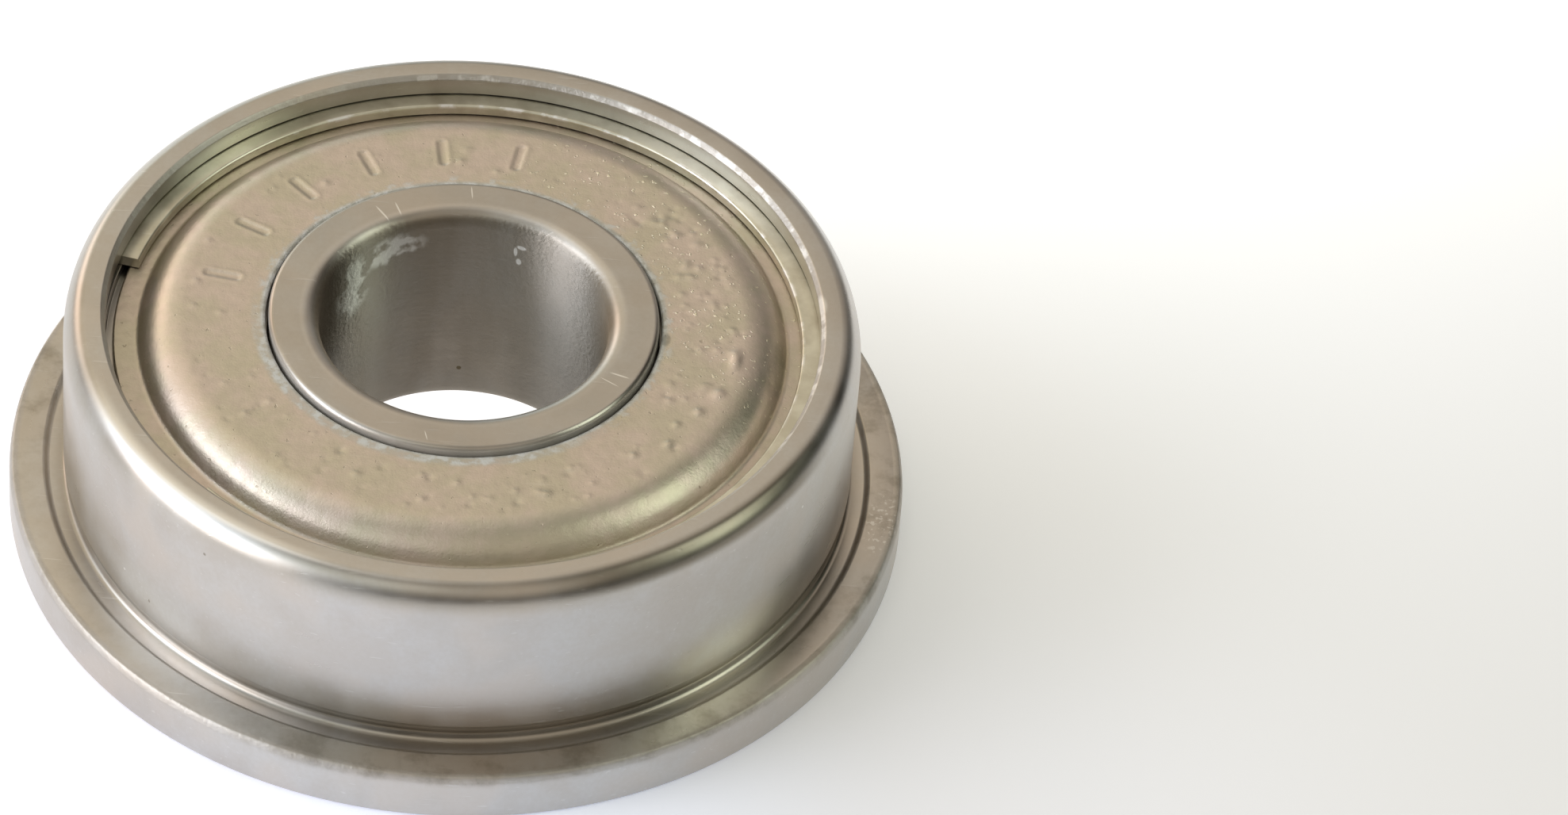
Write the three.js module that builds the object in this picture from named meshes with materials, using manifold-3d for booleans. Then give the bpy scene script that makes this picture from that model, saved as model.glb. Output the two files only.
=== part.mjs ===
// A flanged single-row ball bearing with a pressed-steel shield on each side: 8 x 22 x 7 mm,
// with a 25 mm flange on one end of the outer ring.
//
// Millimetres. +Z is the bore axis. The origin is on the axis, at the flange's back face, and
// the far face is at z = WIDTH. Every ring is a lathed profile, written as [radius, height] points
// that run anticlockwise, so the outer side goes up and the faces point out.

import * as THREE from 'three';
import { mergeVertices } from 'three/addons/utils/BufferGeometryUtils.js';
import Module from 'manifold-3d';

const wasm = await Module();
wasm.setup();

// Boundary dimensions of this size.
const BORE_RADIUS = 4;
const OUTER_RADIUS = 11;
const WIDTH = 7;
const FLANGE_RADIUS = 12.5;
const FLANGE_WIDTH = 1.5;
const MID_HEIGHT = WIDTH / 2;

// Balls and the two race grooves that they run in.
const BALL_COUNT = 7;
const BALL_RADIUS = 3.969 / 2;
const PITCH_RADIUS = (BORE_RADIUS + OUTER_RADIUS) / 2;
const RUNNING_GAP = 0.035;
const RACE_CONFORMITY = 1.04;
const GROOVE_RADIUS = RACE_CONFORMITY * BALL_RADIUS;
const INNER_LAND_RADIUS = 6.05;
const OUTER_LAND_RADIUS = 8.95;

// Ends of the rings. A depth is measured inwards from the ring's face.
const BORE_ROUNDING = 0.45;
const INNER_NECK_RADIUS = 5.38;
const INNER_NECK_DEPTH = 0.8;
const OUTER_ROUNDING = 0.6;
const OUTER_ROUNDING_HEIGHT = 0.95;
const FLANGE_ROUNDING = 0.12;
const FLANGE_ROUNDING_HEIGHT = 0.38;
const SMALL_CHAMFER = 0.13;
const RIM_RADIUS = 9.85;
const CLIP_GROOVE_RADIUS = 10.15;
const CLIP_GROOVE_TOP = 0.65;
const CLIP_GROOVE_BOTTOM = 1.02;
const SHIELD_SEAT_DEPTH = 1.25;

// Grinding relief in the corner between the flange and the ring's outer surface.
const RELIEF_DEPTH = 0.12;
const RELIEF_RADIUS = 11.55;
const RELIEF_NECK_RADIUS = 10.85;
const RELIEF_TOP = 1.95;

// Pressed shield: a raised flat around the bore, a sloping shoulder and a rim that lies on its seat.
const SHEET = 0.2;
const SHIELD_INNER_RADIUS = 5.46;
const SHIELD_EDGE_ROUNDING = 0.14;
const SHIELD_FLAT_RADIUS = 7.7;
const SHIELD_OUTER_RADIUS = 9.65;
const SHIELD_FLAT_DEPTH = 0.2;
const SHIELD_RIM_DEPTH = 1.03;
const SHOULDER_BEND = 1.3;
const ROOT_BEND = 0.2;
const SHOULDER_SLOPE = THREE.MathUtils.degToRad(55);

// Snap ring: a flat open ring in the groove above each shield. Angles are about +Z from +X.
const CLIP_INNER_RADIUS = 9.35;
const CLIP_OUTER_RADIUS = 10.08;
const CLIP_DEPTH = 1;
const CLIP_THICKNESS = 0.32;
const CLIP_END = THREE.MathUtils.degToRad(169);
const CLIP_START = THREE.MathUtils.degToRad(-132);

// Ribbon cage: two pressed halves, riveted together between the balls.
const CAGE_SHEET = 0.25;
const CAGE_INNER_RADIUS = 6.6;
const CAGE_OUTER_RADIUS = 8.4;
const POCKET_CLEARANCE = 0.09;
const CAGE_POCKET_RADIUS = BALL_RADIUS + POCKET_CLEARANCE;
const CAGE_HALF_GAP = 0.01;
const RIVET_RADIUS = 0.38;
const RIVET_HOLE_RADIUS = 0.43;
const RIVET_HEAD_RADIUS = 0.62;
const RIVET_CROWN_RADIUS = 0.37;
const RIVET_HEAD_HEIGHT = 0.24;
const DRILL_LENGTH = 2;

// Facets.
const RING_SEGMENTS = 8 * BALL_COUNT;
const RACE_STEPS = 8;
const BEND_STEPS = 3;
const WIDE_BEND_STEPS = 4;
const CLIP_SEGMENTS = 44;
const POCKET_STEPS = 10;
const MERGE_DISTANCE = 1e-4;
const RIVET_SIDES = 12;
const BALL_DETAIL = 3;

const ringSteel = new THREE.MeshStandardMaterial({ color: 0xa9a297, roughness: 0.3, metalness: 1 });
const shieldSteel = new THREE.MeshStandardMaterial({ color: 0xa89a80, roughness: 0.4, metalness: 1 });
const clipSteel = new THREE.MeshStandardMaterial({ color: 0xaaa79b, roughness: 0.35, metalness: 1 });
const ballSteel = new THREE.MeshStandardMaterial({ color: 0xd6d7d9, roughness: 0.08, metalness: 1 });
const cageSteel = new THREE.MeshStandardMaterial({ color: 0xb9b4a8, roughness: 0.45, metalness: 1 });

// Points along an arc about [r, z], from one angle to another, both in radians. With a height of
// its own, the arc is part of an ellipse.
function arc(r, z, radius, from, to, steps, height = radius) {
  const points = [];
  for (let i = 0; i <= steps; i++) {
    const angle = from + ((to - from) * i) / steps;
    points.push([r + radius * Math.cos(angle), z + height * Math.sin(angle)]);
  }
  return points;
}

// A ring from a profile that closes on itself, turned so that the lathe's axis is +Z.
function lathe(profile, segments = RING_SEGMENTS) {
  const points = [...profile, profile[0]].map(([r, z]) => new THREE.Vector2(r, z));
  return new THREE.LatheGeometry(points, segments).rotateX(Math.PI / 2);
}

// How far a race groove reaches along Z on each side of the middle, at the land beside it.
function grooveAngle(landRadius, centreRadius) {
  return Math.acos(Math.abs(landRadius - centreRadius) / GROOVE_RADIUS);
}

// The end of the outer ring's bore, from the face down to the land: chamfered rim, groove for the
// snap ring, and the seat that the shield's rim lies on. Depths are below the face.
function boreEnd() {
  return [
    [RIM_RADIUS + SMALL_CHAMFER, 0],
    [RIM_RADIUS, SMALL_CHAMFER],
    [RIM_RADIUS, CLIP_GROOVE_TOP],
    [CLIP_GROOVE_RADIUS, CLIP_GROOVE_TOP],
    [CLIP_GROOVE_RADIUS, CLIP_GROOVE_BOTTOM],
    [RIM_RADIUS, CLIP_GROOVE_BOTTOM],
    [RIM_RADIUS, SHIELD_SEAT_DEPTH],
    [OUTER_LAND_RADIUS, SHIELD_SEAT_DEPTH],
  ];
}

function outerRing() {
  const centre = PITCH_RADIUS + BALL_RADIUS + RUNNING_GAP - GROOVE_RADIUS;
  const angle = grooveAngle(OUTER_LAND_RADIUS, centre);
  const reliefBottom = FLANGE_WIDTH - RELIEF_DEPTH;
  const flangeRounding = arc(
    FLANGE_RADIUS - FLANGE_ROUNDING, FLANGE_WIDTH - FLANGE_ROUNDING_HEIGHT, FLANGE_ROUNDING,
    0, Math.PI / 2, BEND_STEPS, FLANGE_ROUNDING_HEIGHT,
  );
  const rounding = arc(
    OUTER_RADIUS - OUTER_ROUNDING, WIDTH - OUTER_ROUNDING_HEIGHT, OUTER_ROUNDING,
    0, Math.PI / 2, WIDE_BEND_STEPS, OUTER_ROUNDING_HEIGHT,
  );
  return lathe([
    ...boreEnd().reverse(),
    [FLANGE_RADIUS - SMALL_CHAMFER, 0],
    [FLANGE_RADIUS, SMALL_CHAMFER],
    ...flangeRounding,
    [RELIEF_RADIUS, FLANGE_WIDTH],
    [RELIEF_RADIUS - RELIEF_DEPTH, reliefBottom],
    [RELIEF_NECK_RADIUS + RELIEF_DEPTH, reliefBottom],
    [RELIEF_NECK_RADIUS, reliefBottom + RELIEF_DEPTH],
    [OUTER_RADIUS, RELIEF_TOP],
    ...rounding,
    ...boreEnd().map(([r, depth]) => [r, WIDTH - depth]),
    ...arc(centre, MID_HEIGHT, GROOVE_RADIUS, angle, -angle, RACE_STEPS),
  ]);
}

function innerRing() {
  const centre = PITCH_RADIUS - BALL_RADIUS - RUNNING_GAP + GROOVE_RADIUS;
  const angle = grooveAngle(INNER_LAND_RADIUS, centre);
  const roundingRadius = BORE_RADIUS + BORE_ROUNDING;
  const bottomRounding = arc(
    roundingRadius, BORE_ROUNDING, BORE_ROUNDING, Math.PI, 1.5 * Math.PI, BEND_STEPS,
  );
  const topRounding = arc(
    roundingRadius, WIDTH - BORE_ROUNDING, BORE_ROUNDING, Math.PI / 2, Math.PI, BEND_STEPS,
  );
  return lathe([
    ...bottomRounding,
    [INNER_NECK_RADIUS - SMALL_CHAMFER, 0],
    [INNER_NECK_RADIUS, SMALL_CHAMFER],
    [INNER_NECK_RADIUS, INNER_NECK_DEPTH],
    [INNER_LAND_RADIUS, INNER_NECK_DEPTH],
    ...arc(centre, MID_HEIGHT, GROOVE_RADIUS, Math.PI + angle, Math.PI - angle, RACE_STEPS),
    [INNER_LAND_RADIUS, WIDTH - INNER_NECK_DEPTH],
    [INNER_NECK_RADIUS, WIDTH - INNER_NECK_DEPTH],
    [INNER_NECK_RADIUS, WIDTH - SMALL_CHAMFER],
    [INNER_NECK_RADIUS - SMALL_CHAMFER, WIDTH],
    ...topRounding,
  ]);
}

// One side of the shield's sheet, outwards from its shoulder. The offset is from the outer side, so
// 0 gives the side that shows and SHEET the one that faces the balls. z = 0 is the ring's face.
function shieldSide(offset) {
  const bends = SHOULDER_BEND + ROOT_BEND;
  const drop = SHIELD_RIM_DEPTH - SHIELD_FLAT_DEPTH;
  const straight = (drop - bends * (1 - Math.cos(SHOULDER_SLOPE))) / Math.sin(SHOULDER_SLOPE);
  const run = bends * Math.sin(SHOULDER_SLOPE) + straight * Math.cos(SHOULDER_SLOPE);
  const shoulder = arc(
    SHIELD_FLAT_RADIUS, -SHIELD_FLAT_DEPTH - SHOULDER_BEND, SHOULDER_BEND - offset,
    Math.PI / 2, Math.PI / 2 - SHOULDER_SLOPE, WIDE_BEND_STEPS,
  );
  const root = arc(
    SHIELD_FLAT_RADIUS + run, -SHIELD_RIM_DEPTH + ROOT_BEND, ROOT_BEND + offset,
    1.5 * Math.PI - SHOULDER_SLOPE, 1.5 * Math.PI, BEND_STEPS,
  );
  return [...shoulder, ...root, [SHIELD_OUTER_RADIUS, -SHIELD_RIM_DEPTH - offset]];
}

function shield() {
  const roundedEdge = arc(
    SHIELD_INNER_RADIUS + SHIELD_EDGE_ROUNDING, -SHIELD_FLAT_DEPTH - SHIELD_EDGE_ROUNDING,
    SHIELD_EDGE_ROUNDING, Math.PI / 2, Math.PI, BEND_STEPS,
  );
  const innerCorner = [SHIELD_INNER_RADIUS, -SHIELD_FLAT_DEPTH - SHEET];
  return lathe([
    innerCorner, ...shieldSide(SHEET), ...shieldSide(0).reverse(), ...roundedEdge,
  ]);
}

function snapRing() {
  const outline = new THREE.Shape();
  outline.absarc(0, 0, CLIP_OUTER_RADIUS, CLIP_START, CLIP_END, false);
  outline.absarc(0, 0, CLIP_INNER_RADIUS, CLIP_END, CLIP_START, true);
  const options = { depth: CLIP_THICKNESS, bevelEnabled: false, curveSegments: CLIP_SEGMENTS };
  return new THREE.ExtrudeGeometry(outline, options).translate(0, 0, -CLIP_DEPTH);
}

// One side of a cage half: for each radius, the points once round. The sheet is flat at flatHeight
// between the balls and follows a sphere of pocketRadius over each ball. z = 0 is the mid plane.
function cageSide(pocketRadius, flatHeight, radii) {
  const edge = pocketRadius ** 2 - flatHeight ** 2;
  return radii.map((r) => {
    const pocketAngle = Math.acos((r * r + PITCH_RADIUS ** 2 - edge) / (2 * r * PITCH_RADIUS));
    const ring = [];
    for (let ball = 0; ball < BALL_COUNT; ball++) {
      const middle = (2 * Math.PI * ball) / BALL_COUNT;
      for (let step = 0; step <= POCKET_STEPS; step++) {
        const turn = pocketAngle * Math.sin(Math.PI * (step / POCKET_STEPS - 0.5));
        const away = r * r + PITCH_RADIUS ** 2 - 2 * r * PITCH_RADIUS * Math.cos(turn);
        const height = Math.sqrt(Math.max(pocketRadius ** 2 - away, flatHeight ** 2));
        ring.push(new THREE.Vector3(r * Math.cos(middle + turn), r * Math.sin(middle + turn), height));
      }
      const between = middle + Math.PI / BALL_COUNT;
      ring.push(new THREE.Vector3(r * Math.cos(between), r * Math.sin(between), flatHeight));
    }
    return ring;
  });
}

// A closed tube of rings: each ring is joined to the next, and the last to the first.
function joinRings(rings) {
  const count = rings[0].length;
  const index = [];
  rings.forEach((_, row) => {
    const next = (row + 1) % rings.length;
    for (let i = 0; i < count; i++) {
      const j = (i + 1) % count;
      index.push(row * count + i, row * count + j, next * count + j);
      index.push(row * count + i, next * count + j, next * count + i);
    }
  });
  return new THREE.BufferGeometry().setFromPoints(rings.flat()).setIndex(index);
}

// three.js geometry to a manifold-3d solid, and back.
function toSolid(geometry) {
  const bare = new THREE.BufferGeometry();
  bare.setAttribute('position', geometry.getAttribute('position'));
  bare.setIndex(geometry.getIndex());
  const merged = mergeVertices(bare, MERGE_DISTANCE);
  return new wasm.Manifold(new wasm.Mesh({
    numProp: 3,
    vertProperties: new Float32Array(merged.getAttribute('position').array),
    triVerts: new Uint32Array(merged.getIndex().array),
  }));
}

function toGeometry(solid) {
  const mesh = solid.getMesh();
  const geometry = new THREE.BufferGeometry();
  geometry.setAttribute('position', new THREE.BufferAttribute(mesh.vertProperties, 3));
  geometry.setIndex(new THREE.BufferAttribute(mesh.triVerts, 1));
  geometry.computeVertexNormals();
  return geometry;
}

// The cage's upper half, with a hole for each rivet. The lower half is the same piece turned over.
function cageHalf() {
  const radii = [CAGE_INNER_RADIUS, PITCH_RADIUS, CAGE_OUTER_RADIUS];
  const under = cageSide(CAGE_POCKET_RADIUS, CAGE_HALF_GAP, radii);
  const over = cageSide(CAGE_POCKET_RADIUS + CAGE_SHEET, CAGE_HALF_GAP + CAGE_SHEET, radii);
  let half = toSolid(joinRings([...under, ...over.reverse()]));
  const drill = new THREE.CylinderGeometry(
    RIVET_HOLE_RADIUS, RIVET_HOLE_RADIUS, DRILL_LENGTH, RIVET_SIDES,
  ).rotateX(Math.PI / 2);
  for (let i = 0; i < BALL_COUNT; i++) {
    const [x, y] = onPitchCircle(i + 0.5);
    half = half.subtract(toSolid(drill.clone().translate(x, y, 0)));
  }
  return toGeometry(half);
}

// A rivet with a domed head at each end, centred on the mid plane.
function rivet() {
  const seat = CAGE_HALF_GAP + CAGE_SHEET + CAGE_HALF_GAP;
  const top = seat + RIVET_HEAD_HEIGHT;
  return lathe(
    [
      [0, -top],
      [RIVET_CROWN_RADIUS, -top],
      [RIVET_HEAD_RADIUS, -seat],
      [RIVET_RADIUS, -seat],
      [RIVET_RADIUS, seat],
      [RIVET_HEAD_RADIUS, seat],
      [RIVET_CROWN_RADIUS, top],
      [0, top],
    ],
    RIVET_SIDES,
  );
}

// A place on the circle of ball centres, in ball spacings from +X.
function onPitchCircle(spacings) {
  const angle = (2 * Math.PI * spacings) / BALL_COUNT;
  return [PITCH_RADIUS * Math.cos(angle), PITCH_RADIUS * Math.sin(angle)];
}

function place(group, name, geometry, material, x = 0, y = 0, z = 0) {
  const mesh = new THREE.Mesh(geometry, material);
  mesh.name = name;
  mesh.position.set(x, y, z);
  group.add(mesh);
  return mesh;
}

const bearing = new THREE.Group();

// Everything that is fixed to the housing: the outer ring, with a shield and snap ring in each end.
const housingSide = new THREE.Group();
place(housingSide, 'outer_ring', outerRing(), ringSteel);
for (const end of ['front', 'flange']) {
  const cover = new THREE.Group();
  place(cover, `${end}_shield`, shield(), shieldSteel);
  place(cover, `${end}_snap_ring`, snapRing(), clipSteel);
  if (end === 'front') cover.position.z = WIDTH;
  else cover.rotation.x = Math.PI;
  housingSide.add(cover);
}
bearing.add(housingSide);

place(bearing, 'inner_ring', innerRing(), ringSteel);

// The cage and the balls that it spaces out, all centred on the mid plane.
const rollingSet = new THREE.Group();
rollingSet.position.z = MID_HEIGHT;
place(rollingSet, 'cage_front_half', cageHalf(), cageSteel);
place(rollingSet, 'cage_flange_half', cageHalf(), cageSteel).rotation.x = Math.PI;
const ballGeometry = new THREE.IcosahedronGeometry(BALL_RADIUS, BALL_DETAIL);
for (let i = 0; i < BALL_COUNT; i++) {
  place(rollingSet, `ball_${i + 1}`, ballGeometry, ballSteel, ...onPitchCircle(i));
  place(rollingSet, `cage_rivet_${i + 1}`, rivet(), cageSteel, ...onPitchCircle(i + 0.5));
}
bearing.add(rollingSet);

export default bearing;
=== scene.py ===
"""Looks for a flanged, shielded ball bearing: fine surfaces, finishes, floor, light and camera.

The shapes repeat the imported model's dimensions, in millimetres, and are scaled to metres as each
mesh is made. +Z is the bore axis, and z = 0 is the flange's back face, which lies on the floor.
"""

import math
import random

import bmesh
import bpy
import numpy as np
from mathutils import Matrix, Vector


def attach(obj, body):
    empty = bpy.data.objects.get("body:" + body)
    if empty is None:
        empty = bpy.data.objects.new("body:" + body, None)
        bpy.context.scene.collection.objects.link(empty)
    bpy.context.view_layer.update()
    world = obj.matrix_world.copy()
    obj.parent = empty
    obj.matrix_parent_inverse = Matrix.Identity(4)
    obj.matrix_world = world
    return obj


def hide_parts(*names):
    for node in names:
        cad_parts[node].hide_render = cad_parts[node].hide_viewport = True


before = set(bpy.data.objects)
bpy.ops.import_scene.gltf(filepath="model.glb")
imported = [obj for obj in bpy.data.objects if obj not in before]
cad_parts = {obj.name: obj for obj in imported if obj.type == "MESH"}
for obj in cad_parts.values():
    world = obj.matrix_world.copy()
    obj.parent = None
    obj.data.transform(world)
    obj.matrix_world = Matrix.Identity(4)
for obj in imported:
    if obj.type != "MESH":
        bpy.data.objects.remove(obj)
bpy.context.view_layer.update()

MM = 0.001
SMOOTH_ANGLE = math.radians(40)

# How finely the rings are divided round the axis, and a ball groove across its section.
OUTER_RING_SEGMENTS = 320
INNER_RING_SEGMENTS = 256
STAMPED_SHIELD_SEGMENTS = 900
PLAIN_SHIELD_SEGMENTS = 320
CLIP_SEGMENTS = 240
GROOVE_STEPS = 24


# Dimensions --------------------------------------------------------------------------------------

WIDTH = 7.0
MID = WIDTH / 2
BALLS = 7
BALL_RADIUS = 3.969 / 2
PITCH_RADIUS = 7.5
GROOVE_RADIUS = 1.04 * BALL_RADIUS
RUNNING_GAP = 0.035

# Outer ring. A depth is measured inwards from the ring's face.
OUTSIDE_RADIUS = 11.0
OUTER_LAND_RADIUS = 8.95
RIM_RADIUS = 9.85
RIM_CHAMFER = 0.13
RIM_ROUNDING = 0.6
RIM_ROUNDING_HEIGHT = 0.95
CLIP_GROOVE_RADIUS = 10.15
CLIP_GROOVE_TOP = 0.65
CLIP_GROOVE_BOTTOM = 1.02
SHIELD_SEAT_DEPTH = 1.25
FLANGE_RADIUS = 12.5
FLANGE_THICKNESS = 1.5
FLANGE_ROUNDING = 0.12
FLANGE_ROUNDING_HEIGHT = 0.38
FLANGE_FOOT_ROUNDING = 0.14
# The grinding relief in the corner above the flange, as (radius, height, fillet).
RELIEF_GROOVE = (
    (11.55, FLANGE_THICKNESS, 0.12),
    (11.42, 1.38, 0.12),
    (10.96, 1.38, 0.2),
    (10.85, 1.6, 0.14),
    (10.93, 1.86, 0.1),
    (OUTSIDE_RADIUS, 2.0, 0.1),
)

# Inner ring.
BORE_RADIUS = 4.0
BORE_ROUNDING = 0.45
INNER_LAND_RADIUS = 6.05
NECK_RADIUS = 5.38
NECK_DEPTH = 0.8
NECK_ROUNDING = 0.14

# Front shield and front snap ring, or clip. The others are the same, turned over. The slope
# and the clip's ends are in degrees.
SHEET = 0.2
SHIELD_BORE_RADIUS = 5.46
SHIELD_FLAT_RADIUS = 7.7
SHIELD_ROOT_RADIUS = 9.063
SHIELD_RIM_RADIUS = 9.65
SHIELD_TOP = 6.8
SHIELD_RIM_TOP = 5.97
SHOULDER_BEND = 1.3
ROOT_BEND = 0.2
SHOULDER_SLOPE = 55
ROOT_STEPS = 8
SHIELD_FACET = 0.055
CLIP_INNER_RADIUS = 9.35
CLIP_OUTER_RADIUS = 10.08
CLIP_BOTTOM = 6.0
CLIP_TOP = 6.32
CLIP_ENDS = (-132, 169)

# Cage and rivets. The dome of a rivet's head ends at an angle in radians.
CAGE_INNER_RADIUS = 6.6
CAGE_OUTER_RADIUS = 8.4
CAGE_SHEET = 0.25
CAGE_HALF_GAP = 0.01
CAGE_STEPS = 12
POCKET_STEPS = 24
FLAT_STEPS = 8
POCKET_RADIUS = BALL_RADIUS + 0.09
RIVET_RADIUS = 0.38
RIVET_HEAD_RADIUS = 0.62
RIVET_HEAD_BASE = 0.27
RIVET_HEAD_HEIGHT = 0.24
RIVET_DOME = 1.45
RIVET_SIDES = 32

# The shield's plain stamped bars, at angles in degrees.
STAMP_ANGLES = (172, 154, 136, 118, 100, 82)
STAMP_RADIUS = 6.85
STAMP_HALF_LENGTH = 0.42
STAMP_HALF_WIDTH = 0.03
STAMP_DEPTH = 0.03
STAMP_LIP = 0.009

# The shield's larger lumps: radius, angle in degrees, height, width and length round the axis.
LARGE_LUMPS = (
    (6.85, 41, 0.03, 0.1, 0.1),
    (6.85, 36, 0.03, 0.1, 0.1),
    (6.9, 24, 0.03, 0.12, 0.12),
    (6.95, 11, 0.03, 0.12, 0.2),
    (7.6, -6, 0.08, 0.15, 0.36),
    (7.5, -17, 0.055, 0.18, 0.2),
    (7.3, -24, 0.05, 0.14, 0.16),
    (7.05, -30, 0.035, 0.1, 0.12),
    (7.35, -36, 0.045, 0.13, 0.15),
    (7.0, -44, 0.035, 0.12, 0.12),
    (7.2, -67, 0.035, 0.12, 0.14),
    (6.9, -110, 0.03, 0.12, 0.14),
)
# Its small lumps and dents are scattered: first and last angle, and how many lie between them.
SCATTERED_LUMPS = ((0, 58, 60), (-75, 0, 34), (-165, -75, 36), (58, 195, 14))
LUMP_SEED = 41


# Shapes ------------------------------------------------------------------------------------------


def arc(r, z, radius, start, end, steps, height=None):
    """Points round (r, z), from one angle to another in degrees; an ellipse if given a height."""
    angles = [math.radians(start + (end - start) * i / steps) for i in range(steps + 1)]
    tall = height or radius
    return [(r + radius * math.cos(a), z + tall * math.sin(a)) for a in angles]


def rounded(corners, steps):
    """A closed outline through (r, z, fillet) corners. Plain (r, z) corners stay sharp.

    A short stretch beside each fillet keeps the flat next to it evenly shaded.
    """
    outline = []
    for i, corner in enumerate(corners):
        here = Vector(corner[:2])
        fillet = corner[2] if len(corner) > 2 else 0
        if not fillet:
            outline.append(tuple(here))
            continue
        back = Vector(corners[i - 1][:2]) - here
        ahead = Vector(corners[(i + 1) % len(corners)][:2]) - here
        half = back.angle(ahead) / 2
        reach = min(fillet / math.tan(half), 0.45 * back.length, 0.45 * ahead.length)
        inwards = (back.normalized() + ahead.normalized()).normalized()
        middle = here + inwards * reach / math.cos(half)
        first = here + back.normalized() * reach - middle
        last = here + ahead.normalized() * reach - middle
        turn = first.angle_signed(last)
        outline.append(tuple(middle + first + back.normalized() * 0.1 * reach))
        for step in range(steps + 1):
            outline.append(tuple(middle + Matrix.Rotation(-turn * step / steps, 2) @ first))
        outline.append(tuple(middle + last + ahead.normalized() * 0.1 * reach))
    return outline


def subdivided(outline, longest):
    """The outline with its long edges cut into pieces no longer than this."""
    result = []
    for i, (r, z) in enumerate(outline):
        next_r, next_z = outline[(i + 1) % len(outline)]
        pieces = max(1, math.ceil(math.hypot(next_r - r, next_z - z) / longest))
        result += [
            (r + (next_r - r) * k / pieces, z + (next_z - z) * k / pieces) for k in range(pieces)
        ]
    return result


def make_piece(name, shape, body, slot, stands_for, finish):
    """A smooth mesh piece from points in millimetres, riding on its body with its finish."""
    points, faces = shape
    mesh = bpy.data.meshes.new(name)
    mesh.from_pydata([Vector(p) * MM for p in points], [], faces)
    mesh.validate()
    mesh.shade_smooth()
    mesh.set_sharp_from_angle(angle=SMOOTH_ANGLE)
    mesh.materials.append(finish)
    piece = bpy.data.objects.new(name, mesh)
    bpy.context.scene.collection.objects.link(piece)
    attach(piece, body)
    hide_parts(stands_for)


def lathe(outline, segments, relief=None):
    """Points and faces of a ring turned from a closed outline. Relief raises points along Z."""
    section = np.array(outline)
    angle = np.linspace(0, 2 * math.pi, segments, endpoint=False)[:, None]
    r = np.broadcast_to(section[:, 0], (segments, len(section)))
    z = np.broadcast_to(section[:, 1], r.shape)
    lift = relief(r, z, angle) if relief else 0
    points = np.stack([r * np.cos(angle), r * np.sin(angle), z + lift], axis=-1)
    return points.reshape(-1, 3).tolist(), joined_loops(segments, len(outline))


def joined_loops(rows, count, closed=True):
    """Faces between loops of points: each loop is joined to the next, and the last to the first."""
    faces = []
    for row in range(rows if closed else rows - 1):
        here = row * count
        there = (row + 1) % rows * count
        for j in range(count):
            k = (j + 1) % count
            faces.append((here + j, there + j, there + k, here + k))
    return faces


def swept(outline, start, end, steps):
    """Points and faces of an open ring: a closed outline carried from one angle to another."""
    points = []
    for i in range(steps + 1):
        angle = math.radians(start + (end - start) * i / steps)
        points += [(r * math.cos(angle), r * math.sin(angle), z) for r, z in outline]
    count = len(outline)
    ends = [tuple(range(count)), tuple(reversed(range(steps * count, (steps + 1) * count)))]
    return points, joined_loops(steps + 1, count, closed=False) + ends


def turned_over(shape):
    """The same piece turned over about the X axis through the middle of the bearing."""
    points, faces = shape
    return [(x, -y, WIDTH - z) for x, y, z in points], faces


def moved(shape, angle):
    """The same piece moved from the axis to the circle of the balls, at an angle round it."""
    x = PITCH_RADIUS * math.cos(angle)
    y = PITCH_RADIUS * math.sin(angle)
    points, faces = shape
    return [(px + x, py + y, pz) for px, py, pz in points], faces


def bore_end(face, side):
    """The outer ring's inside from a face down to the land; side is 1 when the face looks up."""
    groove_top = face - side * CLIP_GROOVE_TOP
    groove_bottom = face - side * CLIP_GROOVE_BOTTOM
    seat = face - side * SHIELD_SEAT_DEPTH
    return [
        (RIM_RADIUS + RIM_CHAMFER, face, 0.05),
        (RIM_RADIUS, face - side * RIM_CHAMFER, 0.05),
        (RIM_RADIUS, groove_top, 0.03),
        (CLIP_GROOVE_RADIUS, groove_top, 0.03),
        (CLIP_GROOVE_RADIUS, groove_bottom, 0.06),
        (RIM_RADIUS, groove_bottom, 0.03),
        (RIM_RADIUS, seat, 0.03),
        (OUTER_LAND_RADIUS, seat, 0.04),
    ]


def rounded_edge(r, top, wide, tall, steps):
    """An elliptical rounding that ends at a radius and at a height."""
    return arc(r - wide, top - tall, wide, 0, 90, steps, height=tall)


def outer_ring_outline():
    centre = PITCH_RADIUS + BALL_RADIUS + RUNNING_GAP - GROOVE_RADIUS
    reach = math.degrees(math.acos((OUTER_LAND_RADIUS - centre) / GROOVE_RADIUS))
    flange = rounded_edge(
        FLANGE_RADIUS, FLANGE_THICKNESS, FLANGE_ROUNDING, FLANGE_ROUNDING_HEIGHT, 10
    )
    corners = [
        *bore_end(0, -1)[::-1],
        (FLANGE_RADIUS, 0, FLANGE_FOOT_ROUNDING),
        *flange,
        *RELIEF_GROOVE,
        *rounded_edge(OUTSIDE_RADIUS, WIDTH, RIM_ROUNDING, RIM_ROUNDING_HEIGHT, 14),
        *bore_end(WIDTH, 1),
        *arc(centre, MID, GROOVE_RADIUS, reach, -reach, GROOVE_STEPS),
    ]
    return rounded(corners, steps=7)


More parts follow.
